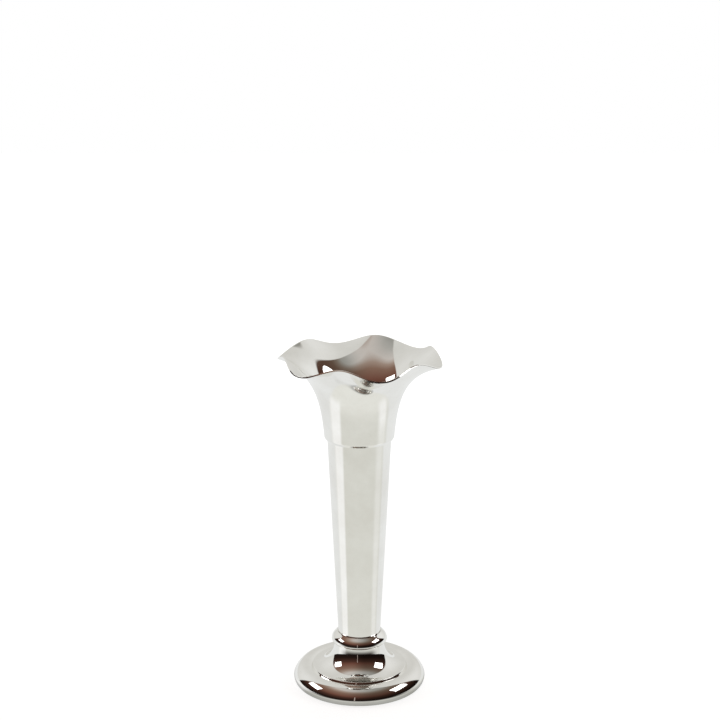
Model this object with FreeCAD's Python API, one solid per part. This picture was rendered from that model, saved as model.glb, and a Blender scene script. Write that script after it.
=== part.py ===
# Silver-plated trumpet vase: a ruffled, six-lobed bell on a tapered tube and a weighted, domed foot.
# Millimetres, +Z up. The origin is on the axis, on the surface that the vase stands on.
# The front is the -Y side. Angles round the axis are counted from there, towards +X.
import math
import os

import FreeCAD, Part

# Sheet metal and joints
foot_wall = 1.0
tube_wall = 0.8
bell_wall = 0.8
solder_gap = 0.12            # between soldered sheets, all round
slip_clearance = 0.25        # between a bore and the stud that passes it
fill_clearance = 0.3         # between the weight, or the base plate, and the shell round them

# Foot: a fat rolled ring, a small step inside it, a dished shoulder and a short neck
foot_radius = 39.4
foot_height = 25.5
edge_height = 3.5            # where the rolled ring is widest
edge_side_pull = 2.2         # how far its curve runs upright there
edge_top_pull = 6.4          # and how far it runs along the slope on its inner side
edge_width = 9.8             # from the widest point in to the end of the roll
edge_rise = 6.3              # and up to it
edge_end_angle = 115.0       # how far the roll turns, from its widest point over its top
foot_lip_height = 0.3        # how far the metal's turned-under lip clears the table
foot_lip_reach = 1.5         # how far the lip turns in
flange_width = 1.2           # the slope between the roll and the step
ring_step = 1.1
ring_lean = 0.5              # how far the step's side leans in
ring_round = 0.35
neck_radius = 14.7
neck_round = 0.8
lip_flat_share = 0.44        # where the lip's curve leaves the flat
lip_rise_share = 0.5         # and where it meets the upright
dish_reach_share = 0.52      # of the way from the ring in to the neck
dish_rise_share = -0.04      # of the way from the ring up to the neck's top: it dips a little
neck_flare_share = 0.01      # how far the neck's foot leans out, of the way to the ring
neck_drop_share = 0.55       # of the way from the neck's top down to the ring

# Weight, base plate and felt in the foot
felt_thickness = 1.0
felt_margin = 1.2            # how far the felt stays inside the base plate's edge
plate_thickness = 0.8

# Stud, nut and washer that pull the foot, the collar and the tube together
stud_radius = 2.5
stud_head_radius = 5.0
stud_head_thickness = 1.6
stud_tip = 0.8               # how far the stud shows past the nut
stud_chamfer = 0.5
nut_flats = 8.0
nut_height = 4.0
nut_chamfer = 0.6
washer_radius = 5.0
washer_thickness = 1.0
well_radius = 6.6            # the base plate's pressed well, inside
well_floor_gap = 0.5         # between the stud's tip and the felt

# Collar: the bead between the foot and the tube
collar_height = 6.1
collar_lip = 0.65            # the lip's width round the tube
bead_overhang = 2.2          # how far the bead's lower corner stands out past the neck
bead_round = 1.6             # that corner's rounding, in and up
bead_lean = 0.3              # how far the side leans in over the height of the rounding
bead_side = 2.4              # how far the side goes on at that lean before it curves in
bead_brow = 1.3              # the slope down from the lip, as far out as down
seat_depth = 0.8             # how deep the tube stands in the collar

# Tube and its soldered bottom
tube_bottom_radius = 12.56
tube_lap_radius = 18.75      # where the tube passes the bell's turned-in lip
tube_length = 121.5          # from the collar's seat to the top of that lip
cuff_swell = 2.6             # the height in which the tube swells out inside the bell
cuff_length = 4.6
bottom_thickness = 1.2
bottom_skirt = 5.0

# Bell, along its meridian from the turned-in lip to the rim
bell_height = 48.5           # from its lower edge to the middle of the rim's wave
lip_width = 0.65             # the flat under the shoulder, out from the tube
shoulder_width = 1.75        # the whole step, out from the tube
shoulder_height = 2.0
step_lean_angle = 35.0       # how far the step's slanting underside leans out from the upright
step_round = 0.35            # where that slant begins to turn into the upright
waist_swell = 2.0            # the curve's next pole, out from the shoulder
waist_height = 24.5
throat_swell = 4.1           # and the one after it, out from the waist
throat_height = 39.0
mouth_radius = 46.6          # the middle of the rim's wave
rim_bulge = 0.2              # how far the trimmed edge's curve is pulled out

# The rim's wave
lobe_count = 6
trough_angle = 16.0          # the first trough, from the front towards +X
wave_height = 3.0            # the rim's rise and fall each side of the middle
wave_spread = 1.8            # how far a trough leans out and a crest leans in
wave_fade = 5                # the wave fades down the flare with this power of the way to the rim
poles_per_lobe = 12

# Facts worked out from the sizes above
foot_top = foot_height
collar_top = foot_top + collar_height
tube_seat = collar_top - seat_depth
lap_top = tube_seat + tube_length
bell_bottom = lap_top - bell_wall
plate_bottom = felt_thickness
plate_top = plate_bottom + plate_thickness
stud_end = plate_bottom + well_floor_gap
nut_bottom = stud_end + stud_tip
washer_bottom = nut_bottom + nut_height
well_floor = washer_bottom + washer_thickness
tube_taper = (tube_lap_radius - tube_bottom_radius) / tube_length
shoulder_radius = tube_lap_radius + shoulder_width
shoulder_lean = waist_swell / (waist_height - shoulder_height)


def at(radius, height):
    """A point on the meridian plane."""
    return FreeCAD.Vector(radius, 0, height)


def between(low, high, share):
    return low + (high - low) * share


def edges_of(stretches):
    """One edge for each stretch of an outline: straight for two poles, and a smooth curve for more."""
    edges = []
    for stretch in stretches:
        bezier = Part.BezierCurve()
        bezier.setPoles([at(*pole) for pole in stretch])
        edges.append(bezier.toShape())
    return edges


def moved_in(stretches, distance):
    """An outline moved to its left: each leg of its control polygon keeps its direction."""
    poles = stretches[0][:1] + [pole for stretch in stretches for pole in stretch[1:]]
    normals = []
    for (r0, z0), (r1, z1) in zip(poles, poles[1:]):
        length = math.hypot(r1 - r0, z1 - z0)
        normals.append(((z0 - z1) / length, (r1 - r0) / length))
    moved = []
    for (radius, height), (a, b), (c, d) in zip(poles, normals[:1] + normals, normals + normals[-1:]):
        stretch = distance / (1 + a * c + b * d)
        moved.append((radius + (a + c) * stretch, height + (b + d) * stretch))
    result, first = [], 0
    for stretch in stretches:
        last = first + len(stretch) - 1
        result.append(moved[first:last + 1])
        first = last
    return result


def turned(stretches):
    """The solid that a closed outline sweeps round the axis."""
    face = Part.Face(Part.Wire(edges_of(stretches)))
    return face.revolve(FreeCAD.Vector(0, 0, 0), FreeCAD.Vector(0, 0, 1), 360)


def legs(points):
    """Straight stretches through the points in turn."""
    return [list(pair) for pair in zip(points, points[1:])]


def turned_polygon(points):
    return turned(legs(points + points[:1]))


def spun_shell(outer, inner):
    """Sheet metal between two outlines that run the same way, turned round the axis."""
    back = [stretch[::-1] for stretch in inner[::-1]]
    return turned(outer + [[outer[-1][-1], back[0][0]]] + back + [[back[-1][-1], outer[0][0]]])


def disc(radius, bottom, top):
    return Part.makeCylinder(radius, top - bottom, at(0, bottom))


def foot_outline(detailed):
    """The foot's outside, from its turned-under lip up to the neck's flat top and in to the stud.

    The inside of the sheet follows it without the ring's step and the neck's rounded corner.
    """
    turn = math.radians(edge_end_angle)
    roll_end = (foot_radius - edge_width, edge_height + edge_rise)
    out, up = edge_top_pull * math.sin(turn), -edge_top_pull * math.cos(turn)
    roll = [(foot_radius, edge_height), (foot_radius, edge_height + edge_side_pull),
            (roll_end[0] + out, roll_end[1] + up), roll_end]
    lip = [(foot_radius - foot_lip_reach, foot_lip_height),
           (foot_radius - foot_lip_reach * lip_flat_share, foot_lip_height),
           (foot_radius, between(foot_lip_height, edge_height, lip_rise_share)), roll[0]]
    flange_foot = (roll_end[0] - flange_width, roll_end[1] - flange_width * math.tan(turn - math.pi / 2))
    ring_corner = (flange_foot[0] - ring_lean, flange_foot[1] + ring_step)
    dish_start = (ring_corner[0] - ring_round, ring_corner[1]) if detailed else flange_foot
    neck_end = foot_top - neck_round if detailed else foot_top
    dish_lower = (between(dish_start[0], neck_radius, dish_reach_share),
                  between(dish_start[1], foot_top, dish_rise_share))
    dish_upper = (between(neck_radius, dish_start[0], neck_flare_share),
                  between(foot_top, dish_start[1], neck_drop_share))
    step, corner = [], []
    top_start = (neck_radius, neck_end)
    if detailed:
        rounded = ring_round / math.hypot(ring_lean, ring_step)
        step_top = tuple(between(high, low, rounded) for high, low in zip(ring_corner, flange_foot))
        step = [[flange_foot, step_top], [step_top, ring_corner, dish_start]]
        top_start = (neck_radius - neck_round, foot_top)
        corner = [[(neck_radius, neck_end), (neck_radius, foot_top), top_start]]
    return ([lip, roll, [roll[-1], flange_foot]] + step +
            [[dish_start, dish_lower, dish_upper, (neck_radius, neck_end)]] + corner +
            [[top_start, (stud_radius + slip_clearance, foot_top)]])


def foot_shell():
    """The spun foot, closed on top but for the stud's hole, and open below."""
    return spun_shell(foot_outline(detailed=True), moved_in(foot_outline(detailed=False), foot_wall))


def foot_weight():
    """A cast block that fills the dome, bored for the stud and hollowed for the plate's well."""
    inside = moved_in(foot_outline(detailed=False), foot_wall + fill_clearance)
    lip, top = inside[0][0], inside[-1][-1]
    room = turned(inside + legs([top, (0, top[1]), (0, plate_bottom), (lip[0], plate_bottom), lip]))
    block = room.common(disc(foot_radius, plate_top, foot_top))
    ceiling = foot_top - foot_wall
    boss = disc(neck_radius - foot_wall - neck_round, well_top(), ceiling)
    bore = disc(stud_radius + slip_clearance, plate_top, ceiling)
    well_room = disc(well_radius + plate_thickness + fill_clearance, plate_top, well_top())
    return block.fuse(boss).cut(bore).cut(well_room)


def well_top():
    return well_floor + plate_thickness


def base_plate():
    """A pressed disc that closes the foot, with a well in its middle for the nut."""
    well_outer = well_radius + plate_thickness
    bore = stud_radius + slip_clearance
    rim, top = plate_radius(), well_top()
    return turned_polygon([(rim, plate_bottom), (rim, plate_top), (well_outer, plate_top), (well_outer, top),
                           (bore, top), (bore, well_floor), (well_radius, well_floor),
                           (well_radius, plate_bottom)])


def plate_radius():
    """The plate slips in past the foot's turned-under lip."""
    lip = moved_in(foot_outline(detailed=False), foot_wall)[0][0]
    return lip[0] - fill_clearance


def felt_pad():
    return disc(plate_radius() - felt_margin, 0, felt_thickness)


def collar_ring():
    """The bead: a turned ring with a seat for the tube above and for the stud's head under it."""
    bore = stud_radius + slip_clearance
    head_room = stud_head_radius + slip_clearance
    seat_radius = tube_bottom_radius + tube_taper * seat_depth + solder_gap
    lip_outside = seat_radius + collar_lip
    head_floor = tube_seat - stud_head_thickness
    corner = (neck_radius + bead_overhang, foot_top)
    underside = (corner[0] - bead_round, foot_top)
    side_foot = (corner[0] - bead_lean, foot_top + bead_round)
    side_end = (side_foot[0] - bead_lean / bead_round * bead_side, side_foot[1] + bead_side)
    top = (lip_outside, collar_top)
    bead = [[underside, corner, side_foot],
            [side_foot, side_end, (lip_outside + bead_brow, collar_top - bead_brow), top]]
    return turned(bead + legs([top, (seat_radius, collar_top), (seat_radius, tube_seat),
                               (head_room, tube_seat), (head_room, head_floor), (bore, head_floor),
                               (bore, foot_top), underside]))


def stud():
    """The threaded rod, with its flat head under the tube's bottom."""
    head_floor = tube_seat - stud_head_thickness
    return turned_polygon([(0, tube_seat), (stud_head_radius, tube_seat), (stud_head_radius, head_floor),
                           (stud_radius, head_floor), (stud_radius, stud_end + stud_chamfer),
                           (stud_radius - stud_chamfer, stud_end), (0, stud_end)])


def washer():
    return disc(washer_radius, washer_bottom, well_floor).cut(
        disc(stud_radius + slip_clearance, washer_bottom, well_floor))


def nut():
    """A hexagon with its corners turned off, bored to the stud."""
    corner = nut_flats / math.sqrt(3)
    turns = [math.radians(60 * k) for k in range(7)]
    ring = [FreeCAD.Vector(corner * math.cos(a), corner * math.sin(a), nut_bottom) for a in turns]
    prism = Part.Face(Part.makePolygon(ring)).extrude(at(0, nut_height))
    half = nut_flats / 2
    wide = half + nut_chamfer
    blank = turned_polygon([(0, nut_bottom), (half, nut_bottom), (wide, nut_bottom + nut_chamfer),
                            (wide, washer_bottom - nut_chamfer), (half, washer_bottom), (0, washer_bottom)])
    return prism.common(blank).cut(disc(stud_radius, nut_bottom, washer_bottom))


def stem_tube():
    """The tapered tube, swelled out above the bell's lip so that the lip can't slide off it."""
    foot_end = (tube_bottom_radius, tube_seat)
    lap_end = (tube_lap_radius, lap_top)
    cuff_foot = (shoulder_radius - bell_wall - solder_gap, lap_top + cuff_swell)
    cuff_end = (cuff_foot[0] + shoulder_lean * cuff_length, cuff_foot[1] + cuff_length)
    half_swell = cuff_swell / 2
    swell = [lap_end, (tube_lap_radius + tube_taper * half_swell, lap_top + half_swell),
             (cuff_foot[0] - shoulder_lean * half_swell, lap_top + half_swell), cuff_foot]
    outside = [[foot_end, lap_end], swell, [cuff_foot, cuff_end]]
    return spun_shell(outside, moved_in(outside, tube_wall))


def tube_bottom():
    """The soldered cup that closes the tube, watertight, with its skirt against the tube's inside."""
    seat_radius = tube_bottom_radius - tube_wall * math.hypot(1, tube_taper) - solder_gap
    outside = legs([(0, tube_seat), (seat_radius, tube_seat),
                    (seat_radius + tube_taper * bottom_skirt, tube_seat + bottom_skirt)])
    return spun_shell(outside, moved_in(outside, bottom_thickness))


def raised(poles, degree):
    """The same curve written with more poles."""
    while len(poles) <= degree:
        count = len(poles)
        middle = [tuple(between(after, before, k / count) for before, after in zip(poles[k - 1], poles[k]))
                  for k in range(1, count)]
        poles = poles[:1] + middle + poles[-1:]
    return poles


def ruffled_ring(radius, height, wave):
    """Poles round the axis: a circle, with that share of the rim's wave laid on it."""
    count = lobe_count * poles_per_lobe
    circle_gain = 3 / (2 + math.cos(2 * math.pi / count))
    wave_gain = 3 / (2 + math.cos(2 * math.pi / poles_per_lobe)) * wave
    ring = []
    for k in range(count):
        angle = 2 * math.pi * k / count
        swing = math.cos(lobe_count * (angle - math.radians(trough_angle))) * wave_gain
        reach = (radius + wave_spread * swing) * circle_gain
        fall = wave_height * swing
        ring.append(FreeCAD.Vector(reach * math.sin(angle), -reach * math.cos(angle), height - fall))
    return ring


def ruffled_patch(stations):
    """One face round the axis through rings of poles: smooth round, and one curve from edge to edge."""
    rings = [ruffled_ring(*station) for station in stations]
    count, degree = len(rings[0]), len(rings) - 1
    surface = Part.BSplineSurface()
    surface.buildFromPolesMultsKnots([[ring[k] for ring in rings] for k in range(count)],
                                     [1] * (count + 1), [degree + 1] * 2, list(range(count + 1)), [0, 1],
                                     True, False, 3, degree)
    return surface.toShape()


def trumpet_bell():
    """The flared and ruffled bell: a turned-in lip, a slanting step, the flare and a trimmed rim."""
    lip = (tube_lap_radius + lip_width, 0)
    shoulder = (shoulder_radius, shoulder_height)
    waist = (shoulder_radius + waist_swell, waist_height)
    throat = (waist[0] + throat_swell, throat_height)
    rim = (mouth_radius, bell_height)
    slant = math.radians(step_lean_angle)
    step_width = shoulder_radius - shoulder_lean * shoulder_height - lip[0]
    corner_height = step_width / (math.tan(slant) - shoulder_lean)
    corner = (lip[0] + corner_height * math.tan(slant), corner_height)
    slant_top = (corner[0] - step_round * math.sin(slant), corner[1] - step_round * math.cos(slant))
    outside = [[(tube_lap_radius + solder_gap, 0), lip], [lip, slant_top], [slant_top, corner, shoulder],
               raised([shoulder, waist, throat, rim], wave_fade)]
    inside = moved_in(outside, bell_wall)
    inner_rim = inside[-1][-1]
    pull = rim_bulge / math.hypot(rim[0] - throat[0], rim[1] - throat[1])
    out, up = (rim[0] - throat[0]) * pull, (rim[1] - throat[1]) * pull
    noses = [(end[0] + out, end[1] + up) for end in (rim, inner_rim)]

    def station(point, wave=0):
        return point[0], bell_bottom + point[1], wave

    patches = [[station(outside[0][0]), station(inside[0][0])],
               [station(rim, 1), station(noses[0], 1), station(noses[1], 1), station(inner_rim, 1)]]
    for stretches in (outside, inside):
        patches += [[station(pole) for pole in stretch] for stretch in stretches[:-1]]
        patches.append([station(pole) for pole in stretches[-1][:-1]] + [station(stretches[-1][-1], 1)])
    shell = Part.makeShell([ruffled_patch(stations) for stations in patches])
    shell.sewShape()
    bell = Part.Solid(shell)
    if bell.Volume < 0:
        bell.reverse()
    return bell


NODES = {
    "trumpet_bell": trumpet_bell,
    "stem_tube": stem_tube,
    "tube_bottom": tube_bottom,
    "collar_ring": collar_ring,
    "foot_shell": foot_shell,
    "foot_weight": foot_weight,
    "stud": stud,
    "washer": washer,
    "nut": nut,
    "base_plate": base_plate,
    "felt_pad": felt_pad,
}

os.makedirs("parts", exist_ok=True)
whole = FreeCAD.BoundBox()
for name, make in NODES.items():
    solid = make().Solids[0]
    solid.exportStep(f"parts/{name}.step")
    box = solid.BoundBox
    whole.add(box)
    print(f"{name:14} {solid.ShapeType} valid {solid.isValid()} volume {solid.Volume / 1000:8.3f} cm3 "
          f"z {box.ZMin:7.2f} to {box.ZMax:7.2f} across {box.XLength:6.2f}")
print(f"whole: {whole.XLength:.2f} x {whole.YLength:.2f} x {whole.ZLength:.2f} mm, base at {whole.ZMin:.3f}")
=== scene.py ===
# %% [markdown]
# # A silver-plated trumpet vase
#
# What shows of the vase is four pieces of metal, each made in its own way. The foot is spun from a disc
# of sheet brass, the bead above it is turned on a lathe, the stem is a drawn tube, and the bell is spun
# as a plain horn and then ruffled by hand over a stake. All of it is silver plated and buffed to a
# mirror, so what the eye sees is mostly the room round it. That is why this lesson spends as much care
# on smooth curves and on the studio as on the metal itself.
#
# The solids come first, as a fixed frame. Everything below is in metres, in the same place as they are.

# %% The frame
import math

import bmesh
import bpy
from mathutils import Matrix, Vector


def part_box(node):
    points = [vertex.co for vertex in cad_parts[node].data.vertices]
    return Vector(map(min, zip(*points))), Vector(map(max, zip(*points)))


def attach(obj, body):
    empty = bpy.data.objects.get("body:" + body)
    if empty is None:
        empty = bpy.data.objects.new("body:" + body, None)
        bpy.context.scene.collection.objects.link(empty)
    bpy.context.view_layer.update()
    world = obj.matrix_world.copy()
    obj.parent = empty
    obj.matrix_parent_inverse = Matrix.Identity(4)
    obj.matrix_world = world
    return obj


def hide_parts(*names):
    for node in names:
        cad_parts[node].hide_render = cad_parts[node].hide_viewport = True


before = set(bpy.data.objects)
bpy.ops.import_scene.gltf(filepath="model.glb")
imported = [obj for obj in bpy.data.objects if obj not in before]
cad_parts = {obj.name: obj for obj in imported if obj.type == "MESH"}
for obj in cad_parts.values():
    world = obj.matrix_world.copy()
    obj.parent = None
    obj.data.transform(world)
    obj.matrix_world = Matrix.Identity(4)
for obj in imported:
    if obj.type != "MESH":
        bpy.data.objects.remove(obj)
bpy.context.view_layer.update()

print("solids:", sorted(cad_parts))

# %% [markdown]
# ## The camera
#
# The photograph was taken from a little above the table with a long lens. Its place was worked out from
# the ellipses that the round edges of the vase make. It could be set by eye, but in a mirror a small
# turn of the camera moves every reflection, so the measured place is kept.

# %% The camera
PHOTO_PIXELS = 720
FOCAL_PIXELS = 1553.0
SENSOR_MM = 36.0
CAMERA_PLACE = (0.0004, -0.8673, 0.4149)
CAMERA_TILT = math.radians(14.0)
FAR_END = 50.0
camera_data = bpy.data.cameras.new("camera")
camera_data.sensor_width = SENSOR_MM
camera_data.lens = FOCAL_PIXELS / PHOTO_PIXELS * SENSOR_MM
camera_data.clip_end = FAR_END
camera = bpy.data.objects.new("camera", camera_data)
camera.location = CAMERA_PLACE
camera.rotation_euler = (math.pi / 2 - CAMERA_TILT, 0.0, 0.0)
bpy.context.scene.collection.objects.link(camera)
bpy.context.scene.camera = camera
bpy.context.scene.view_settings.view_transform = "Standard"
print("lens", round(camera_data.lens, 2), "mm")

# %% [markdown]
# ## Curves
#
# The outlines below are the same curves as the solids have, in millimetres from the axis and from the
# table. A smooth curve is given by a few poles that it bends towards. Cutting every leg between two
# poles at the same share, again and again until one point is left, gives the point at that share.
# Blender's own curve objects could draw them too, but points in a list can be turned, offset and joined.

# %% Points on a curve
MM = 0.001


def point_at(poles, shares):
    """The point that is left when the legs between the poles are cut at each share in turn."""
    for share in shares:
        poles = [tuple(a + (b - a) * share for a, b in zip(p, q)) for p, q in zip(poles, poles[1:])]
    return poles[0]


def curve(poles, count):
    """Points along a smooth curve, without its first."""
    degree = len(poles) - 1
    return [point_at(poles, [step / count] * degree) for step in range(1, count + 1)]


def inside_of(points, wall):
    """The same outline on the inner face of the sheet, to the left of the way that it runs."""
    normals = []
    for (r0, z0), (r1, z1) in zip(points, points[1:]):
        length = math.hypot(r1 - r0, z1 - z0)
        normals.append(((z0 - z1) / length, (r1 - r0) / length))
    moved = []
    for (r, z), (a, b), (c, d) in zip(points, normals[:1] + normals, normals + normals[-1:]):
        reach = wall / (1 + a * c + b * d)
        moved.append((r + (a + c) * reach, z + (b + d) * reach))
    return moved


# %% [markdown]
# ## Turning a section
#
# Spun and turned work is the same all round, so each such piece is one closed section that goes once
# round the axis. Lathe objects can be made with a Screw modifier or with the Spin tool. Spin is used
# here, because it leaves a plain mesh whose seam can be merged at once. The section starts as a small
# circle that is merged to one vertex, and that vertex is extruded from point to point.

# %% The spin tool
ROUND_STEPS = 256
WELD = 1e-7
SMOOTH_BELOW = math.radians(35)


def let_go():
    """Leaves edit mode and selects nothing, so that the next primitive is alone."""
    if bpy.context.mode != "OBJECT":
        bpy.ops.object.mode_set(mode="OBJECT")
    bpy.ops.object.select_all(action="DESELECT")


def spin_section(name, section):
    """Turns a closed section of (radius, height) points in millimetres round the axis."""
    let_go()
    bpy.ops.mesh.primitive_circle_add(vertices=3, radius=MM, location=(0, 0, 0))
    piece = bpy.context.object
    piece.name = piece.data.name = name
    bpy.ops.object.mode_set(mode="EDIT")
    bpy.ops.mesh.merge(type="CENTER")
    corner = (0.0, 0.0)
    for step, point in enumerate(section + section[:1]):
        move = ((point[0] - corner[0]) * MM, 0.0, (point[1] - corner[1]) * MM)
        if step == 0:
            bpy.ops.transform.translate(value=move)
        else:
            bpy.ops.mesh.extrude_region_move(TRANSFORM_OT_translate={"value": move})
        corner = point
    bpy.ops.mesh.select_all(action="SELECT")
    bpy.ops.mesh.spin(steps=ROUND_STEPS, angle=2 * math.pi, center=(0, 0, 0), axis=(0, 0, 1))
    bpy.ops.mesh.select_all(action="SELECT")
    bpy.ops.mesh.remove_doubles(threshold=WELD)
    bpy.ops.mesh.normals_make_consistent(inside=False)
    bpy.ops.object.mode_set(mode="OBJECT")
    bpy.ops.object.shade_smooth_by_angle(angle=SMOOTH_BELOW)
    print(name, len(piece.data.polygons), "faces", tuple(round(s, 4) for s in piece.dimensions))
    return piece


# %% [markdown]
# ## The foot
#
# On the real vase the foot is one disc of brass, pressed over a wooden chuck while it turns. Its edge is
# rolled into a fat ring, then comes a small step, a dished shoulder and a short neck. A torus, a disc
# and a cone set on each other would look alike from afar, but a mirror shows each of their joints, so
# the foot is one turned section. A flat in a curve shows as a kink in the reflections, so the curves get
# many points and the straight parts few. Only the outer face has the small rounded corners of the step
# and the neck, because the sheet smooths them inside.

# %% The foot's outline
FOOT_WALL = 1.0
FOOT_RADIUS, FOOT_TOP = 39.4, 25.5
EDGE_HEIGHT, EDGE_SIDE_PULL, EDGE_TOP_PULL = 3.5, 2.2, 6.4
EDGE_WIDTH, EDGE_RISE, EDGE_TURN = 9.8, 6.3, math.radians(115.0)
LIP_HEIGHT, LIP_REACH, LIP_FLAT_SHARE, LIP_RISE_SHARE = 0.3, 1.5, 0.44, 0.5
FLANGE_WIDTH = 1.2
RING_STEP, RING_LEAN, RING_ROUND = 1.1, 0.5, 0.35
NECK_RADIUS, NECK_ROUND = 14.7, 0.8
DISH_REACH, DISH_RISE, NECK_FLARE, NECK_DROP = 0.52, -0.04, 0.01, 0.55
STUD_BORE = 2.75


def mixed(low, high, share):
    """The value at a share of the way from low to high."""
    return low + (high - low) * share


def foot_outline(detailed):
    """From the turned-under lip over the roll and the dish to the neck, and in to the stud's hole."""
    end = (FOOT_RADIUS - EDGE_WIDTH, EDGE_HEIGHT + EDGE_RISE)
    over_top = (end[0] + EDGE_TOP_PULL * math.sin(EDGE_TURN), end[1] - EDGE_TOP_PULL * math.cos(EDGE_TURN))
    roll = [(FOOT_RADIUS, EDGE_HEIGHT), (FOOT_RADIUS, EDGE_HEIGHT + EDGE_SIDE_PULL), over_top, end]
    lip = [(FOOT_RADIUS - LIP_REACH, LIP_HEIGHT), (FOOT_RADIUS - LIP_REACH * LIP_FLAT_SHARE, LIP_HEIGHT),
           (FOOT_RADIUS, mixed(LIP_HEIGHT, EDGE_HEIGHT, LIP_RISE_SHARE)), roll[0]]
    flange_foot = (end[0] - FLANGE_WIDTH, end[1] - FLANGE_WIDTH * math.tan(EDGE_TURN - math.pi / 2))
    ring_corner = (flange_foot[0] - RING_LEAN, flange_foot[1] + RING_STEP)
    start = (ring_corner[0] - RING_ROUND, ring_corner[1]) if detailed else flange_foot
    neck_end = FOOT_TOP - NECK_ROUND if detailed else FOOT_TOP
    dish = [start,
            (mixed(start[0], NECK_RADIUS, DISH_REACH), mixed(start[1], FOOT_TOP, DISH_RISE)),
            (mixed(NECK_RADIUS, start[0], NECK_FLARE), mixed(FOOT_TOP, start[1], NECK_DROP)),
            (NECK_RADIUS, neck_end)]
    points = [lip[0]] + curve(lip, 12) + curve(roll, 56) + [flange_foot]
    if detailed:
        share = RING_ROUND / math.hypot(RING_LEAN, RING_STEP)
        rise = tuple(mixed(high, low, share) for high, low in zip(ring_corner, flange_foot))
        points += [rise] + curve([rise, ring_corner, start], 8)
    points += curve(dish, 80)
    if detailed:
        points += curve([dish[-1], (NECK_RADIUS, FOOT_TOP), (NECK_RADIUS - NECK_ROUND, FOOT_TOP)], 8)
    return points + [(STUD_BORE, FOOT_TOP)]


foot = spin_section("foot", foot_outline(True) + inside_of(foot_outline(False), FOOT_WALL)[::-1])

# %% [markdown]
# ## The bead
#
# The bead hides the joint between stem and foot. It is a turned ring with a seat for the stem, and the
# bolt that holds the vase together passes through it. A torus is quicker, but it is round all over. The
# real bead has a nearly upright side and a sloping brow, so it is a turned section too.

# %% The bead's outline
COLLAR_TOP = 31.6
TUBE_SEAT = 30.8
TUBE_BOTTOM_RADIUS, TUBE_LAP_RADIUS, LAP_TOP = 12.56, 18.75, 152.3
TUBE_TAPER = (TUBE_LAP_RADIUS - TUBE_BOTTOM_RADIUS) / (LAP_TOP - TUBE_SEAT)
SOLDER_GAP = 0.12
COLLAR_LIP = 0.65
BEAD_OVERHANG, BEAD_ROUND, BEAD_LEAN, BEAD_SIDE, BEAD_BROW = 2.2, 1.6, 0.3, 2.4, 1.3
HEAD_ROOM, HEAD_FLOOR = 5.25, 29.2

seat_radius = TUBE_BOTTOM_RADIUS + TUBE_TAPER * (COLLAR_TOP - TUBE_SEAT) + SOLDER_GAP
bead_corner = (NECK_RADIUS + BEAD_OVERHANG, FOOT_TOP)
underside = (bead_corner[0] - BEAD_ROUND, FOOT_TOP)
side_foot = (bead_corner[0] - BEAD_LEAN, FOOT_TOP + BEAD_ROUND)
side_end = (side_foot[0] - BEAD_LEAN / BEAD_ROUND * BEAD_SIDE, side_foot[1] + BEAD_SIDE)
bead_top = (seat_radius + COLLAR_LIP, COLLAR_TOP)
brow = (bead_top[0] + BEAD_BROW, COLLAR_TOP - BEAD_BROW)
bead = [underside] + curve([underside, bead_corner, side_foot], 24)
bead += curve([side_foot, side_end, brow, bead_top], 48)
collar = spin_section("collar", bead + [
    (seat_radius, COLLAR_TOP), (seat_radius, TUBE_SEAT), (HEAD_ROOM, TUBE_SEAT), (HEAD_ROOM, HEAD_FLOOR),
    (STUD_BORE, HEAD_FLOOR), (STUD_BORE, FOOT_TOP)])

# %% [markdown]
# ## The stem
#
# The stem is a drawn tube that tapers from the bell to the bead. Its top is swelled out inside the bell,
# so that the bell's turned-in lip can't slide off it. A cone would do for what shows outside, but one
# can look into the vase, so the tube is a section with both faces of its wall. Only the swell needs many
# points.

# %% The stem's outline
TUBE_WALL, BELL_WALL = 0.8, 0.8
CUFF_SWELL, CUFF_LENGTH = 2.6, 4.6
SHOULDER_RADIUS, SHOULDER_HEIGHT = 20.5, 2.0
WAIST = (22.5, 24.5)
SHOULDER_LEAN = (WAIST[0] - SHOULDER_RADIUS) / (WAIST[1] - SHOULDER_HEIGHT)

cuff_foot = (SHOULDER_RADIUS - BELL_WALL - SOLDER_GAP, LAP_TOP + CUFF_SWELL)
half_swell = CUFF_SWELL / 2
swell = [(TUBE_LAP_RADIUS, LAP_TOP), (TUBE_LAP_RADIUS + TUBE_TAPER * half_swell, LAP_TOP + half_swell),
         (cuff_foot[0] - SHOULDER_LEAN * half_swell, LAP_TOP + half_swell), cuff_foot]
tube_foot = (TUBE_BOTTOM_RADIUS, TUBE_SEAT)
tube_top = (cuff_foot[0] + SHOULDER_LEAN * CUFF_LENGTH, cuff_foot[1] + CUFF_LENGTH)
tube_outside = [tube_foot] + curve([tube_foot, swell[0]], 24) + curve(swell, 16) + [tube_top]
stem = spin_section("stem", tube_outside + inside_of(tube_outside, TUBE_WALL)[::-1])

# %% [markdown]
# ## The bell
#
# The bell starts as a plain horn. A circle is drawn up and widened ring by ring, as the spinner widens
# the metal over the chuck. Then the rim is ruffled into six lobes: where the rim dips it also leans out,
# and where it rises it leans in. The wave fades down the flare with the fifth power of the way to the
# rim, so only the outermost part is ruffled and the rest stays round. Sculpting or a Displace modifier
# could make the waves as well, but moved rings keep all six lobes alike.
#
# The rings are a coarse cage. Subdivision smooths a cage by pulling every corner in towards its
# neighbours, so each ring is first pushed out by as much as the smoothing takes away. Where an edge
# should stay crisp, as at the step, two rings lie close together.

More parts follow.
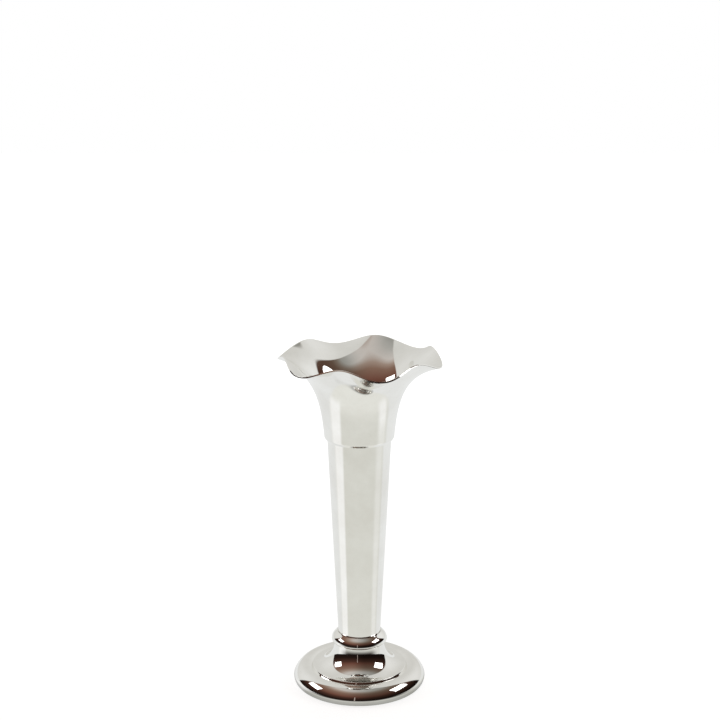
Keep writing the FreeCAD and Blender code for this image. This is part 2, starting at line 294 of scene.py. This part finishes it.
# %% Rings for the bell
BELL_BOTTOM = LAP_TOP - BELL_WALL
LIP_WIDTH = 0.65
STEP_LEAN, STEP_ROUND = math.radians(35.0), 0.35
THROAT = (26.6, 39.0)
RIM = (46.6, 48.5)
LOBES, COLUMNS_PER_LOBE = 6, 12
TROUGH_ANGLE = math.radians(16.0)
WAVE_HEIGHT, WAVE_SPREAD, WAVE_FADE = 3.0, 1.8, 5
RIM_BULGE = 0.05
CRISP = 0.1
CAGE_PASSES = 12
SLANT_SHARES = [0.08, 0.35, 0.7, 1.0]
FLARE_SHARES = [0.012, 0.03, 0.06, 0.1, 0.16, 0.23, 0.31, 0.39, 0.47, 0.55, 0.63, 0.71, 0.79, 0.86, 0.92,
                0.965]


def through(values):
    """A cage whose smoothed curve passes through the values."""
    cage = list(values)
    for _ in range(CAGE_PASSES):
        smoothed = [cage[0]] + [(a + 4 * b + c) / 6 for a, b, c in zip(cage, cage[1:], cage[2:])] + [cage[-1]]
        cage = [c + v - s for c, v, s in zip(cage, values, smoothed)]
    return cage


shoulder = (SHOULDER_RADIUS, SHOULDER_HEIGHT)
lip_end = (TUBE_LAP_RADIUS + LIP_WIDTH, 0.0)
step_width = SHOULDER_RADIUS - SHOULDER_LEAN * SHOULDER_HEIGHT - lip_end[0]
corner_height = step_width / (math.tan(STEP_LEAN) - SHOULDER_LEAN)
corner = (lip_end[0] + corner_height * math.tan(STEP_LEAN), corner_height)
slant_top = (corner[0] - STEP_ROUND * math.sin(STEP_LEAN), corner[1] - STEP_ROUND * math.cos(STEP_LEAN))
slant = [point_at([lip_end, slant_top], [share]) for share in SLANT_SHARES]
flare = [shoulder, WAIST, THROAT, RIM]
rings = [(TUBE_LAP_RADIUS + SOLDER_GAP, 0.0, 0.0), (lip_end[0] - CRISP, 0.0, 0.0), (*lip_end, 0.0)]
rings += [(*point, 0.0) for point in slant + curve([slant_top, corner, shoulder], 3)]
rings += [(*point_at(flare, [share] * 3), share ** WAVE_FADE) for share in FLARE_SHARES]
way_out = Vector((RIM[0] - THROAT[0], RIM[1] - THROAT[1])).normalized()
rings.append((RIM[0] + way_out.x * RIM_BULGE, RIM[1] + way_out.y * RIM_BULGE, 1.0))
radii, heights, waves = (through(list(column)) for column in zip(*rings))
columns = LOBES * COLUMNS_PER_LOBE
COLUMN_ANGLE = 2 * math.pi / columns
circle_gain = 3 / (2 + math.cos(COLUMN_ANGLE))
wave_gain = 3 / (2 + math.cos(2 * math.pi / COLUMNS_PER_LOBE))
print("bell:", len(rings), "rings of", columns)

# %% [markdown]
# The plain horn is drawn up from its lowest ring. Extruding gives the next ring, and resizing about the
# axis gives it its width. A cone or a spun section would not have the few even columns that the ruffle
# and the subdivision need.

# %% The horn
let_go()
bpy.ops.mesh.primitive_circle_add(vertices=columns, radius=radii[0] * circle_gain * MM,
                                  location=(0, 0, (BELL_BOTTOM + heights[0]) * MM))
bell = bpy.context.object
bell.name = bell.data.name = "bell"
bpy.ops.object.transform_apply(location=True, rotation=False, scale=False)
bpy.ops.object.mode_set(mode="EDIT")
bpy.ops.transform.rotate(value=-(TROUGH_ANGLE % COLUMN_ANGLE), orient_axis="Z", center_override=(0, 0, 0))
for step in range(1, len(rings)):
    bpy.ops.mesh.extrude_region_move(
        TRANSFORM_OT_translate={"value": (0, 0, (heights[step] - heights[step - 1]) * MM)})
    wider = radii[step] / radii[step - 1]
    bpy.ops.transform.resize(value=(wider, wider, 1), center_override=(0, 0, 0))
print("horn from", round(radii[0], 2), "mm out to", round(radii[-1], 2), "mm")

# %% [markdown]
# The ruffle is made as by hand. Every lobe has twelve columns, and columns in the same place in their
# lobes move alike, so each such set of one ring is picked, lifted and pushed in or out together.

# %% The ruffle
STILL = 0.001


def pick_alike(ring, swing_step):
    """Selects the columns of one ring that stand so many steps from the middle of a trough."""
    bpy.ops.mesh.select_all(action="DESELECT")
    for vertex in ring:
        step = round((math.atan2(vertex.co.x, -vertex.co.y) - TROUGH_ANGLE) / COLUMN_ANGLE) % COLUMNS_PER_LOBE
        vertex.select = min(step, COLUMNS_PER_LOBE - step) == swing_step


mesh = bmesh.from_edit_mesh(bell.data)
mesh.verts.ensure_lookup_table()
for level, wave in enumerate(waves):
    ring = mesh.verts[level * columns:(level + 1) * columns]
    for swing_step in range(COLUMNS_PER_LOBE // 2 + 1):
        swing = wave * wave_gain * math.cos(swing_step * 2 * math.pi / COLUMNS_PER_LOBE)
        if abs(swing) < STILL:
            continue
        pick_alike(ring, swing_step)
        bmesh.update_edit_mesh(bell.data)
        bpy.ops.transform.translate(value=(0, 0, -WAVE_HEIGHT * swing * MM))
        lean = 1 + WAVE_SPREAD * swing / radii[level]
        bpy.ops.transform.resize(value=(lean, lean, 1), center_override=(0, 0, 0))
bpy.ops.mesh.select_all(action="SELECT")
bpy.ops.mesh.normals_make_consistent(inside=False)
bpy.ops.object.mode_set(mode="OBJECT")
outward = sum(f.normal.x * f.center.x + f.normal.y * f.center.y for f in bell.data.polygons)
print("bell normals point", "out" if outward > 0 else "in")
if outward < 0:
    bell.data.flip_normals()

# %% [markdown]
# Solidify gives the sheet its thickness on the inside, and Subdivision Surface rounds the whole cage. A
# crease keeps the trimmed rim square, and a narrow bevel takes off its burr, as a file does.

# %% The bell's wall
BURR_WIDTH, BURR_ANGLE = 0.08, math.radians(60)
wall = bell.modifiers.new("wall", "SOLIDIFY")
wall.thickness = BELL_WALL * MM
wall.offset = -1.0
wall.use_even_offset = True
wall.edge_crease_inner = wall.edge_crease_outer = 1.0
bpy.ops.object.modifier_apply(modifier="wall")
smooth = bell.modifiers.new("smooth", "SUBSURF")
smooth.levels = smooth.render_levels = 2
bpy.ops.object.modifier_apply(modifier="smooth")
burr = bell.modifiers.new("burr", "BEVEL")
burr.width = BURR_WIDTH * MM
burr.segments = 2
burr.limit_method = "ANGLE"
burr.angle_limit = BURR_ANGLE
bpy.ops.object.modifier_apply(modifier="burr")
bpy.ops.object.shade_smooth_by_angle(angle=SMOOTH_BELOW)
print("bell", len(bell.data.polygons), "faces", tuple(round(s, 4) for s in bell.dimensions))

# %% [markdown]
# ## The felt
#
# A disc of wool felt under the base plate keeps the vase from scratching the table. It was punched out
# of a sheet, so its edge is soft. A cylinder would have a hard edge and one flat face, so a filled circle
# is inset a few times, given its thickness and rounded along its edge.

# %% The felt disc
FELT_INSETS = (0.3, 0.8, 4.0, 8.0, 8.0, 8.0)
FELT_EDGE = 0.25
low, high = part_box("felt_pad")
felt_radius = (high.x - low.x) / 2
let_go()
bpy.ops.mesh.primitive_circle_add(vertices=192, radius=felt_radius, fill_type="NGON",
                                  location=(0, 0, high.z))
felt = bpy.context.object
felt.name = felt.data.name = "felt_disc"
bpy.ops.object.transform_apply(location=True, rotation=False, scale=False)
bpy.ops.object.mode_set(mode="EDIT")
for inner in FELT_INSETS:
    bpy.ops.mesh.inset(thickness=inner * MM)
bpy.ops.mesh.poke()
bpy.ops.object.mode_set(mode="OBJECT")
wall = felt.modifiers.new("thickness", "SOLIDIFY")
wall.thickness = high.z - low.z
wall.offset = -1.0
bpy.ops.object.modifier_apply(modifier="thickness")
bevel = felt.modifiers.new("soft_edge", "BEVEL")
bevel.width = FELT_EDGE * MM
bevel.segments = 3
bevel.limit_method = "ANGLE"
bpy.ops.object.modifier_apply(modifier="soft_edge")
bpy.ops.object.shade_smooth_by_angle(angle=SMOOTH_BELOW)
print("felt", len(felt.data.polygons), "faces", tuple(round(s, 4) for s in felt.dimensions))

# %% [markdown]
# ## Materials
#
# Colours are written as they look on a screen and turned to light levels by one function. One more
# function adds a node with its settings and links, and gives one of its outputs. Two settings come up
# again and again. One is a range with soft ends, given as where it starts and ends and what it gives
# there, from 0 to 1 if nothing is said. The other is a mix of two colours, whose share is its socket 0
# and whose colours are its sockets 6 and 7.

# %% Helpers for materials
SOFT = {"interpolation_type": "SMOOTHSTEP"}
COLOURS = {"output": 2, "data_type": "RGBA"}


def light_level(hex_colour):
    """The linear colour of an sRGB hex value."""
    channels = [int(hex_colour[k:k + 2], 16) / 255 for k in (1, 3, 5)]
    return [c / 12.92 if c <= 0.04045 else ((c + 0.055) / 1.055) ** 2.4 for c in channels] + [1.0]


def add(tree, kind, inputs=(), output=0, stops=(), **settings):
    """Adds a node. Its inputs are values or outputs of other nodes, in order or by name."""
    made = tree.nodes.new("ShaderNode" + kind)
    for name, value in settings.items():
        setattr(made, name, value)
    for count, (position, hex_colour) in enumerate(stops):
        elements = made.color_ramp.elements
        element = elements[count] if count < 2 else elements.new(position)
        element.position, element.color = position, light_level(hex_colour)
    for socket, value in inputs.items() if isinstance(inputs, dict) else enumerate(inputs):
        if isinstance(value, bpy.types.NodeSocket):
            tree.links.new(value, made.inputs[socket])
        else:
            made.inputs[socket].default_value = value
    return made.outputs[output] if made.outputs else made


def new_material(name):
    """An empty material and its tree."""
    material = bpy.data.materials.new(name)
    material.use_nodes = True
    material.node_tree.nodes.clear()
    return material, material.node_tree


# %% [markdown]
# ## Silver plate
#
# Silver is the palest mirror of all metals. Buffing leaves hair-fine lines that run the way the wheel
# went, a faint waviness from the chuck, and after years of use a thin haze and a few pits. The lines are
# about 0.05 mm apart on a real vase. That is too fine to show here, so they are drawn 0.4 mm apart and
# very shallow. A picture of scratches could give the same, but noise that is stretched along the way of
# the wheel fits every piece, without a seam that shows. The foot, bead and bell were buffed round and
# round, the stem up and down. Silver is a metal all through, so it is fully metallic, with a low
# roughness that the haze raises a little. Sizes and depths are in millimetres, and the range of a pit,
# from its dark middle to its edge, is in shares of the pits' spacing.

# %% Silver plate
LINE_GAP, HAZE_SIZE, WAVE_SIZE, PIT_SPACING = 0.4, 22.0, 18.0, 24.0
LINE_DEPTH, WAVE_DEPTH = 0.0004, 0.012
PIT_RANGE = (0.008, 0.016, 1.0, 0.0)
SILVER_TONES = [(0.35, "#F5F5F2"), (0.65, "#EDECE8")]
PIT_COLOUR = "#5A5048"
BUFFED, HAZED, LINES_ADD = 0.02, 0.05, 0.02
ALONG_THE_LINES = 0.02


def silver_plate(name, line_stretch):
    """line_stretch is small along the way the buffing wheel went and 1 across it."""
    material, tree = new_material(name)
    place = add(tree, "TexCoord", output="Object")
    side, back, height = add(tree, "SeparateXYZ", [place]).node.outputs
    radius = add(tree, "VectorMath", [add(tree, "VectorMath", [place, (1, 1, 0)], operation="MULTIPLY")],
                 output="Value", operation="LENGTH")
    front = add(tree, "Math", [back, -1.0], operation="MULTIPLY")
    turn = add(tree, "Math", [side, front], operation="ARCTAN2")
    round_way = add(tree, "Math", [turn, NECK_RADIUS * MM], operation="MULTIPLY")
    unrolled = add(tree, "CombineXYZ", [round_way, height, radius])
    stretched = add(tree, "Mapping", {"Vector": unrolled, "Scale": line_stretch})
    lines = add(tree, "TexNoise", {"Vector": stretched, "Scale": 1 / (LINE_GAP * MM), "Detail": 2.0})
    haze = add(tree, "TexNoise", {
        "Vector": place, "Scale": 1 / (HAZE_SIZE * MM), "Detail": 4.0, "Roughness": 0.6})
    waviness = add(tree, "TexNoise", {"Vector": place, "Scale": 1 / (WAVE_SIZE * MM), "Detail": 1.0})
    cells = add(tree, "TexVoronoi", {"Vector": place, "Scale": 1 / (PIT_SPACING * MM)}, output="Distance")
    pit = add(tree, "MapRange", [cells, *PIT_RANGE], **SOFT)
    silver = add(tree, "ValToRGB", [haze], stops=SILVER_TONES)
    pitted = add(tree, "Mix", {0: pit, 6: silver, 7: light_level(PIT_COLOUR)}, **COLOURS)
    dulled = add(tree, "MapRange", [haze, 0.3, 0.7, BUFFED, HAZED])
    roughness = add(tree, "Math", [lines, LINES_ADD, dulled], operation="MULTIPLY_ADD")
    wavy = add(tree, "Bump", {"Height": waviness, "Strength": 1.0, "Distance": WAVE_DEPTH * MM})
    grooved = add(tree, "Bump", {
        "Height": lines, "Strength": 1.0, "Distance": LINE_DEPTH * MM, "Normal": wavy})
    shader = add(tree, "BsdfPrincipled", {
        "Base Color": pitted, "Metallic": 1.0, "Roughness": roughness, "Normal": grooved})
    add(tree, "OutputMaterial", {"Surface": shader})
    return material


spun_silver = silver_plate("silver_plate_spun_and_buffed", (ALONG_THE_LINES, 1.0, 1.0))
drawn_silver = silver_plate("silver_plate_drawn_and_buffed", (1.0, ALONG_THE_LINES, 1.0))
print("silver: lines", LINE_GAP, "mm apart,", LINE_DEPTH, "mm deep; pits up to",
      round(2 * PIT_RANGE[1] * PIT_SPACING, 2), "mm across")

# %% [markdown]
# ## Metals that don't show
#
# The bolt, nut, washer, base plate, cup and iron weight sit inside, but they are still real metals with
# real finishes. One plain colour each would be enough for what shows. A noise as coarse as the grain of
# each metal varies its colour and gloss, so that they also hold when the vase is taken apart.

# %% Plain metals


def plain_metal(name, pale, dark, roughness, grain, dent):
    """A metal whose colour and gloss vary over its surface. The grain and its depth are in millimetres."""
    material, tree = new_material(name)
    place = add(tree, "TexCoord", output="Object")
    grains = add(tree, "TexNoise", {
        "Vector": place, "Scale": 1 / (grain * MM), "Detail": 5.0, "Roughness": 0.65})
    colour = add(tree, "ValToRGB", [grains], stops=[(0.32, dark), (0.68, pale)])
    gloss = add(tree, "MapRange", [grains, 0.3, 0.7, roughness + 0.1, roughness - 0.05])
    rough = add(tree, "Bump", {"Height": grains, "Strength": 1.0, "Distance": dent * MM})
    shader = add(tree, "BsdfPrincipled", {
        "Base Color": colour, "Metallic": 1.0, "Roughness": gloss, "Normal": rough})
    add(tree, "OutputMaterial", {"Surface": shader})
    return material


pressed_brass = plain_metal("brass_sheet_pressed_and_soldered", "#E3C37C", "#B58A45",
                            roughness=0.28, grain=3.0, dent=0.01)
cast_iron = plain_metal("cast_iron_as_cast", "#5C5854", "#34302E", roughness=0.62, grain=1.2, dent=0.12)
zinc_steel = plain_metal("zinc_plated_steel", "#D2D2CE", "#A9ACAE", roughness=0.3, grain=1.0, dent=0.004)
sheet_steel = plain_metal("pressed_sheet_steel", "#C2C1BD", "#95938F", roughness=0.36, grain=4.0, dent=0.006)
print("plain metals:", [metal.name for metal in (pressed_brass, cast_iron, zinc_steel, sheet_steel)])

# %% [markdown]
# ## Felt
#
# Wool felt is a mat of fibres, each about 0.03 mm thick, with no weave. It looks soft because the loose
# fibres on top catch light from the side, which the sheen gives. Hair particles would show each fibre,
# but on a thin disc a bumpy noise is enough. The fibres are drawn 0.3 mm apart so that they show.

# %% Wool felt
FIBRE_GAP, BLOTCH_SIZE, NAP_DEPTH = 0.3, 4.0, 0.2
wool_felt, tree = new_material("wool_felt_dyed_dark_green")
place = add(tree, "TexCoord", output="Object")
fibres = add(tree, "TexNoise", {
    "Vector": place, "Scale": 1 / (FIBRE_GAP * MM), "Detail": 4.0, "Roughness": 0.75})
blotches = add(tree, "TexNoise", {"Vector": place, "Scale": 1 / (BLOTCH_SIZE * MM), "Detail": 3.0})
wool = add(tree, "Math", [fibres, 0.6, blotches], operation="MULTIPLY_ADD")
dyed = add(tree, "ValToRGB", [add(tree, "Math", [wool, 0.62], operation="MULTIPLY")],
           stops=[(0.35, "#1F3A2A"), (0.65, "#3A5C45")])
nap = add(tree, "Bump", {"Height": fibres, "Strength": 0.6, "Distance": NAP_DEPTH * MM})
shader = add(tree, "BsdfPrincipled", {
    "Base Color": dyed, "Roughness": 0.95, "Sheen Weight": 0.15, "Sheen Roughness": 0.5, "Normal": nap})
add(tree, "OutputMaterial", {"Surface": shader})
print("felt fibres", FIBRE_GAP, "mm apart")

# %% [markdown]
# ## Finishes on their pieces
#
# Each new piece stands for a solid and rides where that solid is. The solids that stay keep their
# meshes and only get a better finish.

# %% Finishes
for piece, finish, stands_for, slot in (
        (bell, spun_silver, "trumpet_bell", "bell_silver"),
        (stem, drawn_silver, "stem_tube", "tube_silver"),
        (collar, spun_silver, "collar_ring", "collar_silver"),
        (foot, spun_silver, "foot_shell", "foot_silver"),
        (felt, wool_felt, "felt_pad", "felt")):
    piece.data.materials.clear()
    piece.data.materials.append(finish)
    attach(piece, "root")
    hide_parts(stands_for)

for name, finish in (("tube_bottom", pressed_brass), ("foot_weight", cast_iron), ("stud", zinc_steel),
                     ("washer", zinc_steel), ("nut", zinc_steel), ("base_plate", sheet_steel)):
    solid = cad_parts[name]
    if not solid.material_slots:
        solid.data.materials.append(finish)
    for material_slot in solid.material_slots:
        material_slot.material = finish
    print(name, "is", finish.name)

# %% [markdown]
# ## The studio
#
# Polished silver has hardly any look of its own, so the studio is part of the picture. Behind the vase
# stands a white cove. In front is the dark room that the camera stands in, browner to the left and
# blacker to the right, with a thin gap of daylight. The cove and the room are one large shell round
# everything, which the mirror sees and the camera doesn't. The shell's light depends only on the way that
# one looks from the middle: side, back and up are that way's three parts.

# %% The shell
SHELL_RADIUS = 3.0
let_go()
bpy.ops.mesh.primitive_uv_sphere_add(segments=96, ring_count=48, radius=SHELL_RADIUS)
shell = bpy.context.object
shell.name = "studio_shell"
bpy.ops.object.shade_smooth()
shell.visible_camera = False
shell.visible_shadow = False
print("shell", SHELL_RADIUS, "m in radius")

# %% [markdown]
# The room gets paler from the floor to the ceiling and darker to the right, and has an upright gap of
# daylight a little left of the middle. Lamps and furniture could be modelled, but in so small a mirror
# they would be specks, and a smooth change of tone looks calmer.

# %% The dark room
ROOM_BY_ELEVATION = [(0.0, "#1C1412"), (0.12, "#261915"), (0.28, "#4A3028"), (0.37, "#6E483C"),
                     (0.56, "#866A5C"), (0.66, "#A28E82"), (0.78, "#CCC5C0"), (1.0, "#CCC8C4")]
RIGHT_SHADE, RIGHT_RANGE = (0.5, 0.53, 0.52, 1), (-0.5, 0.4)
GAP_ACROSS, GAP_HALF_WIDTH, GAP_TOP, GAP_COLOUR = (0.990, -0.139, 0.0), 0.014, 0.5, "#B4A49C"
shell_light, tree = new_material("cove_and_room")
way = add(tree, "VectorMath", [add(tree, "TexCoord", output="Object")], operation="NORMALIZE")
side, back, up = add(tree, "SeparateXYZ", [way]).node.outputs
elevation = add(tree, "Math", [add(tree, "Math", [up], operation="ARCSINE"), math.pi / 2], operation="DIVIDE")
brown = add(tree, "ValToRGB", [elevation], stops=ROOM_BY_ELEVATION)
rightness = add(tree, "MapRange", [side, *RIGHT_RANGE], **SOFT)
shade = add(tree, "Mix", {0: rightness, 6: (1, 1, 1, 1), 7: RIGHT_SHADE}, **COLOURS)
room = add(tree, "Mix", {0: 1.0, 6: brown, 7: shade}, **COLOURS, blend_type="MULTIPLY")
across_gap = add(tree, "VectorMath", [way, GAP_ACROSS], output="Value", operation="DOT_PRODUCT")
off_gap = add(tree, "Math", [across_gap], operation="ABSOLUTE")
in_width = add(tree, "Math", [off_gap, GAP_HALF_WIDTH], operation="LESS_THAN")
in_height = add(tree, "Math", [up, GAP_TOP], operation="LESS_THAN")
gap = add(tree, "Math", [in_width, in_height], operation="MULTIPLY")
room = add(tree, "Mix", {0: gap, 6: room, 7: light_level(GAP_COLOUR)}, **COLOURS)
print("room in", len(ROOM_BY_ELEVATION), "tones")

# %% [markdown]
# The cove is grey-white, with a paler glow of painted lamp light behind the vase on each side, where the
# lamps light it. It ends at an opening with a slightly soft edge, which lies further forward the higher one
# looks.

# %% The white cove and its opening
COVE_COLOUR = "#D6D5D1"
GLOWS = [(-0.74, 0.4), (0.74, 0.6)]
GLOW_BACK, GLOW_UP, GLOW_TIGHTNESS = 0.52, 0.42, 6.0
OPENING_AT_TABLE, OPENING_LEAN, OPENING_SOFTNESS = 0.56, -0.45, 0.02
glow = 0.0
# Each glow is a painted pool of lamp light on the cove.
for glow_side, glow_share in GLOWS:
    towards = (glow_side, GLOW_BACK, GLOW_UP)
    facing = add(tree, "VectorMath", [way, towards], output="Value", operation="DOT_PRODUCT")
    facing = add(tree, "Math", [facing, 0.0], operation="MAXIMUM")
    spread = add(tree, "Math", [facing, GLOW_TIGHTNESS], operation="POWER")
    glow = add(tree, "Math", [spread, glow_share, glow], operation="MULTIPLY_ADD")
cove = add(tree, "Mix", {0: glow, 6: light_level(COVE_COLOUR), 7: (1, 1, 1, 1)}, **COLOURS)
room_depth = add(tree, "Math", [up, OPENING_LEAN, OPENING_AT_TABLE], operation="MULTIPLY_ADD")
past_edge = add(tree, "Math", [room_depth, back], operation="SUBTRACT")
opening = add(tree, "MapRange", [past_edge, -OPENING_SOFTNESS, OPENING_SOFTNESS], **SOFT)
seen = add(tree, "Mix", {0: opening, 6: cove, 7: room}, **COLOURS)
add(tree, "OutputMaterial", {"Surface": add(tree, "Emission", [seen, 1.0])})
shell.data.materials.append(shell_light)
print("cove with", len(GLOWS), "glows")

# %% [markdown]
# ## The table
#
# The vase stands on a glossy white sheet. The camera sees it white, with the vase's soft shadow. The
# mirror sees light and shade painted on it: a little grey as painted shade, paler from straight above
# as painted light, with painted reflections of the softboxes on both sides, and darker with painted
# shade where the foot shades it. At a glancing angle it shows a painted reflection of the dark room
# more than it shows white. A glossy shader would mirror the studio by itself, but then the camera would
# see no plain white floor, so the gloss is painted for the mirror alone. The sheet lies a hair below the
# felt, and from underneath it is clear, so that the felt can be seen from there too.

# %% The table
TABLE_FRONT, TABLE_BACK, TABLE_SIDE, TABLE_DROP = -0.45, 2.8, 2.6, 0.02 * MM
let_go()
bpy.ops.mesh.primitive_plane_add(size=1.0, location=(0, (TABLE_FRONT + TABLE_BACK) / 2, -TABLE_DROP))
table = bpy.context.object
table.name = "table"
table.scale = (2 * TABLE_SIDE, TABLE_BACK - TABLE_FRONT, 1.0)
bpy.ops.object.transform_apply(location=True, rotation=False, scale=True)
print("table", 2 * TABLE_SIDE, "by", TABLE_BACK - TABLE_FRONT, "m")

# %% [markdown]
# What the camera sees of the sheet is a matt grey that takes the shadow, with enough glow of its own to
# come out white. Close to the vase it glows less, so that the shadow there is not washed out.

# %% The sheet as the camera sees it
SHADOW_GREY = "#B4B4B4"
GLOW_RANGE = (0.15, 0.7, 0.8, 1.0)
table_white, tree = new_material("white_acrylic_sheet")
spot = add(tree, "TexCoord", output="Object")
distance = add(tree, "VectorMath", [spot], output="Value", operation="LENGTH")
far = add(tree, "MapRange", [distance, *GLOW_RANGE], **SOFT)
matt = add(tree, "BsdfDiffuse", [light_level(SHADOW_GREY)])
camera_view = add(tree, "AddShader", [matt, add(tree, "Emission", [(1, 1, 1, 1), far])])
print("sheet takes shadows in", SHADOW_GREY)

# %% [markdown]
# What the mirror sees is painted light and shade, and depends on two things: which way from the vase
# the spot lies, in degrees from the front and positive to the right, and how flat the look at it is,
# from 0 straight down to 1 along the sheet. The softboxes lie in the gloss as two pale bands, painted
# reflections of their light. The right one fades as the look gets flatter, and both end where one looks
# nearly straight down.

# %% The sheet as the mirror sees it
# Painted light and shade: the sheet's grey as the mirror sees it, paler from straight above and behind the
# vase.
PAINTED_SHEET_SHADE, PAINTED_SHEET_LIGHT_ABOVE, PAINTED_SHEET_LIGHT_BEHIND = "#DFDFD9", "#ECECE7", "#EDEEEE"
BEHIND_RANGE, STEEP_RANGE = (88.0, 104.0), (0.2, 0.44, 1.0, 0.0)
LAMP_BANDS = [(-97, -61, 7, 5), (64, 90, 9, 6)]
LAMP_TOP_RANGE, RIGHT_BAND_RANGE = (0.12, 0.26), (0.42, 0.6, 0.85, 0.35)
side, back = add(tree, "SeparateXYZ", [spot]).node.outputs[:2]
front = add(tree, "Math", [back, -1.0], operation="MULTIPLY")
turn = add(tree, "Math", [side, front], operation="ARCTAN2")
azimuth = add(tree, "Math", [turn, 180 / math.pi], operation="MULTIPLY")
off_front = add(tree, "Math", [azimuth], operation="ABSOLUTE")
behind = add(tree, "MapRange", [off_front, *BEHIND_RANGE], **SOFT)
grazing = add(tree, "LayerWeight", output="Facing")
steep = add(tree, "MapRange", [grazing, *STEEP_RANGE], **SOFT)
# The sheet's painted shade, with painted light where the look is steeper and behind the vase.
sheet = add(tree, "Mix", {
    0: steep, 6: light_level(PAINTED_SHEET_SHADE), 7: light_level(PAINTED_SHEET_LIGHT_ABOVE)}, **COLOURS)
lit = add(tree, "Mix", {0: behind, 6: sheet, 7: light_level(PAINTED_SHEET_LIGHT_BEHIND)}, **COLOURS)
right_strength = add(tree, "MapRange", [grazing, *RIGHT_BAND_RANGE], **SOFT)
lamp_top = add(tree, "MapRange", [grazing, *LAMP_TOP_RANGE], **SOFT)
# Each band is a painted reflection of a softbox, which mixes the sheet towards white.
for (start, end, soft_start, soft_end), strength in zip(LAMP_BANDS, (1.0, right_strength)):
    rise = add(tree, "MapRange", [azimuth, start - soft_start, start + soft_start], **SOFT)
    fall = add(tree, "MapRange", [azimuth, end - soft_end, end + soft_end, 1.0, 0.0], **SOFT)
    within = add(tree, "Math", [rise, fall], operation="MULTIPLY")
    below_top = add(tree, "Math", [within, lamp_top], operation="MULTIPLY")
    share = add(tree, "Math", [below_top, strength], operation="MULTIPLY")
    lit = add(tree, "Mix", {0: share, 6: lit, 7: (1, 1, 1, 1)}, **COLOURS)
print("sheet with", len(LAMP_BANDS), "lamp bands")

# %% [markdown]
# Last come a painted reflection of the dark room, which only a flat look towards the front shows, and
# painted shade round the foot.

# %% The dark room's painted reflection and the foot's painted shade in the sheet
# The colour of the painted reflection of the dark room in the sheet's gloss.
PAINTED_ROOM_REFLECTION = "#2A201C"
GLANCING_RANGE, ROOM_SIDE_RANGE = (0.58, 1.0), (45.0, 95.0, 1.0, 0.0)
SHADE_RANGE = (0.037, 0.052, 0.45, 1.0)
glancing = add(tree, "MapRange", [grazing, *GLANCING_RANGE], **SOFT)
room_side = add(tree, "MapRange", [off_front, *ROOM_SIDE_RANGE], **SOFT)
room_reflection_share = add(tree, "Math", [glancing, room_side], operation="MULTIPLY")
lit = add(tree, "Mix", {0: room_reflection_share, 6: lit, 7: light_level(PAINTED_ROOM_REFLECTION)}, **COLOURS)
# Painted shade round the foot: the sheet's painted light is dimmed close to the vase.
painted_foot_shade = add(tree, "MapRange", [distance, *SHADE_RANGE], **SOFT)
# For the mirror, the sheet glows with these painted tones of light and shade.
mirror_view = add(tree, "Emission", [lit, painted_foot_shade])
is_mirror = add(tree, "LightPath", output="Is Glossy Ray")
from_above = add(tree, "MixShader", [is_mirror, camera_view, mirror_view])
from_below = add(tree, "NewGeometry", output="Backfacing")
clear = add(tree, "BsdfTransparent")
add(tree, "OutputMaterial", {"Surface": add(tree, "MixShader", [from_below, from_above, clear])})
table.data.materials.append(table_white)
print("table is", table_white.name)

# %% [markdown]
# ## Lamps
#
# Two softboxes light the vase, a large one on the right and a smaller one on the left. Glowing planes
# would do, but area lamps give less noise, and the mirror shows them as bright patches all the same. The
# world fills in with plain white.

# %% Softboxes and the world
SOFTBOX_DISTANCE = 1.1
SOFTBOX_TARGET = Vector((0, 0, 0.03))


def softbox(name, azimuth, elevation, width, height, level):
    """level is the brightness that its face shows, where 1 is white."""
    a, e = math.radians(azimuth), math.radians(elevation)
    lamp_data = bpy.data.lights.new(name, "AREA")
    lamp_data.shape = "RECTANGLE"
    lamp_data.size, lamp_data.size_y = width, height
    lamp_data.energy = level * math.pi * width * height
    lamp = bpy.data.objects.new(name, lamp_data)
    away = Vector((math.sin(a) * math.cos(e), -math.cos(a) * math.cos(e), math.sin(e)))
    lamp.location = SOFTBOX_TARGET + SOFTBOX_DISTANCE * away
    lamp.rotation_euler = away.to_track_quat("Z", "Y").to_euler()
    lamp.visible_camera = False
    bpy.context.scene.collection.objects.link(lamp)
    print(name, "at", [round(place, 2) for place in lamp.location])


softbox("softbox_left", azimuth=-92, elevation=31, width=0.46, height=0.3, level=3.0)
softbox("softbox_right", azimuth=84, elevation=36, width=0.55, height=0.36, level=3.0)

world = bpy.data.worlds.new("white_world")
world.use_nodes = True
world.node_tree.nodes.clear()
background = add(world.node_tree, "Background", [(1, 1, 1, 1), 1.0])
add(world.node_tree, "OutputWorld", {"Surface": background})
bpy.context.scene.world = world
